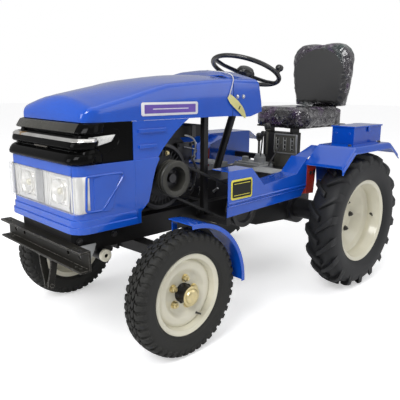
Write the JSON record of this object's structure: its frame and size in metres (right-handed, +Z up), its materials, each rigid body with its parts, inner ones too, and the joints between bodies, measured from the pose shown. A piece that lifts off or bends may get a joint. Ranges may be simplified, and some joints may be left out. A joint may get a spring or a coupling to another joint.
{
  "type": "compact belt-driven tractor",
  "caption": "Open-station compact tractor: narrow nose, side-seen engine with belt drive, steered front wheels, lugged rear wheels, seat, fenders and a lidded toolbox.",
  "frame": {"origin": "on the ground at the middle of the vehicle's bounding box", "axes": "+Z up, nose towards -Y, the tractor's left side towards +X"},
  "size_m": [1.24, 2.08, 1.36],
  "materials": {
    "blue_paint": "gloss",
    "black_paint": "satin",
    "cream_paint": "satin",
    "black_trim": "matte",
    "lamp_glass": "clear",
    "tyre_rubber": "matte",
    "belt_rubber": "matte",
    "bare_steel": "satin",
    "engine_casting": "satin",
    "aluminium_plate": "satin",
    "seat_vinyl": "satin",
    "red_paint": "satin"
  },
  "bodies": {
    "chassis": {"frame_rails": "black_paint", "front_channel": "black_paint", "front_axle_beam": "black_paint", "steering_column": "black_paint", "gearbox_and_axle": "engine_casting", "clutch_pulley": "engine_casting", "drive_belts": "belt_rubber", "engine_block": "engine_casting", "fuel_tank": "black_paint", "flywheel": "engine_casting", "drive_pulley": "bare_steel", "radiator": "black_paint", "exhaust_silencer": "black_paint", "nose_cowl": "blue_paint", "headlamp_unit": "lamp_glass", "grille_mask": "black_trim", "dash_cowl": "blue_paint", "side_panels": "blue_paint", "cowl_posts": "black_paint", "step_panels": "blue_paint", "foot_plates": "aluminium_plate", "rear_fenders": "blue_paint", "toolbox": "blue_paint", "seat_cushion": "seat_vinyl", "seat_back": "seat_vinyl", "seat_stand": "black_paint", "shift_gate": "black_paint", "fender_stays": "red_paint", "drawbar": "black_paint"},
    "steering_wheel": {"steering_wheel": "black_trim"},
    "knuckle_left": {"knuckle_left": "black_paint", "front_mudguard_left": "blue_paint"},
    "knuckle_right": {"knuckle_right": "black_paint", "front_mudguard_right": "blue_paint"},
    "tie_rod": {"tie_rod": "black_paint"},
    "drag_link": {"drag_link": "black_paint"},
    "pitman_arm": {"pitman_arm": "black_paint"},
    "front_wheel_left": {"front_rim_left": "cream_paint", "front_hub_left": "black_paint", "front_tyre_left": "tyre_rubber"},
    "front_wheel_right": {"front_rim_right": "cream_paint", "front_hub_right": "black_paint", "front_tyre_right": "tyre_rubber"},
    "rear_wheel_left": {"rear_rim_left": "cream_paint", "rear_hub_left": "black_paint", "rear_tyre_left": "tyre_rubber"},
    "rear_wheel_right": {"rear_rim_right": "cream_paint", "rear_hub_right": "black_paint", "rear_tyre_right": "tyre_rubber"},
    "hood": {"hood": "blue_paint"},
    "toolbox_lid": {"toolbox_lid": "blue_paint"}
  },
  "joints": [
    {"name": "steer_left", "type": "hinge", "parent": "chassis", "child": "knuckle_left", "pos_m": [0.335, -0.646, 0.262], "axis": [0, 0, 1], "range_deg": [-35, 35]},
    {"name": "steer_right", "type": "hinge", "parent": "chassis", "child": "knuckle_right", "pos_m": [-0.335, -0.646, 0.262], "axis": [0, 0, 1], "range_deg": [-35, 35]},
    {"name": "steering_wheel_turn", "type": "hinge", "parent": "chassis", "child": "steering_wheel", "pos_m": [0, 0.229, 1.162], "axis": [0, 0.3907, 0.9205], "range_deg": [-350, 350]},
    {"name": "tie_rod_swing", "type": "hinge", "parent": "knuckle_left", "child": "tie_rod", "pos_m": [0.335, -0.536, 0.343], "axis": [0, 0, 1], "range_deg": [-35, 35]},
    {"name": "drag_link_swing", "type": "hinge", "parent": "knuckle_right", "child": "drag_link", "pos_m": [-0.23, -0.646, 0.478], "axis": [0, 0, 1], "range_deg": [-35, 35]},
    {"name": "pitman_swing", "type": "hinge", "parent": "chassis", "child": "pitman_arm", "pos_m": [-0.2, -0.046, 0.578], "axis": [1, 0, 0], "range_deg": [-35, 35]},
    {"name": "front_wheel_left_spin", "type": "hinge", "parent": "knuckle_left", "child": "front_wheel_left", "pos_m": [0.445, -0.646, 0.262], "axis": [1, 0, 0], "continuous": true},
    {"name": "front_wheel_right_spin", "type": "hinge", "parent": "knuckle_right", "child": "front_wheel_right", "pos_m": [-0.445, -0.646, 0.262], "axis": [1, 0, 0], "continuous": true},
    {"name": "rear_wheel_left_spin", "type": "hinge", "parent": "chassis", "child": "rear_wheel_left", "pos_m": [0.527, 0.554, 0.37], "axis": [1, 0, 0], "continuous": true},
    {"name": "rear_wheel_right_spin", "type": "hinge", "parent": "chassis", "child": "rear_wheel_right", "pos_m": [-0.527, 0.554, 0.37], "axis": [1, 0, 0], "continuous": true},
    {"name": "hood_lift", "type": "hinge", "parent": "chassis", "child": "hood", "pos_m": [0, -0.998, 0.942], "axis": [1, 0, 0], "range_deg": [0, 60]},
    {"name": "toolbox_lid_lift", "type": "hinge", "parent": "chassis", "child": "toolbox_lid", "pos_m": [0.395, 0.641, 0.8693], "axis": [0, -1, 0], "range_deg": [0, 100]}
  ],
  "couplings": [
    {"joint": "steer_right", "follows": "steer_left", "ratio": 1},
    {"joint": "steering_wheel_turn", "follows": "steer_left", "ratio": 10},
    {"joint": "tie_rod_swing", "follows": "steer_left", "ratio": -1},
    {"joint": "drag_link_swing", "follows": "steer_left", "ratio": -1},
    {"joint": "pitman_swing", "follows": "steer_left", "ratio": 1}
  ]
}
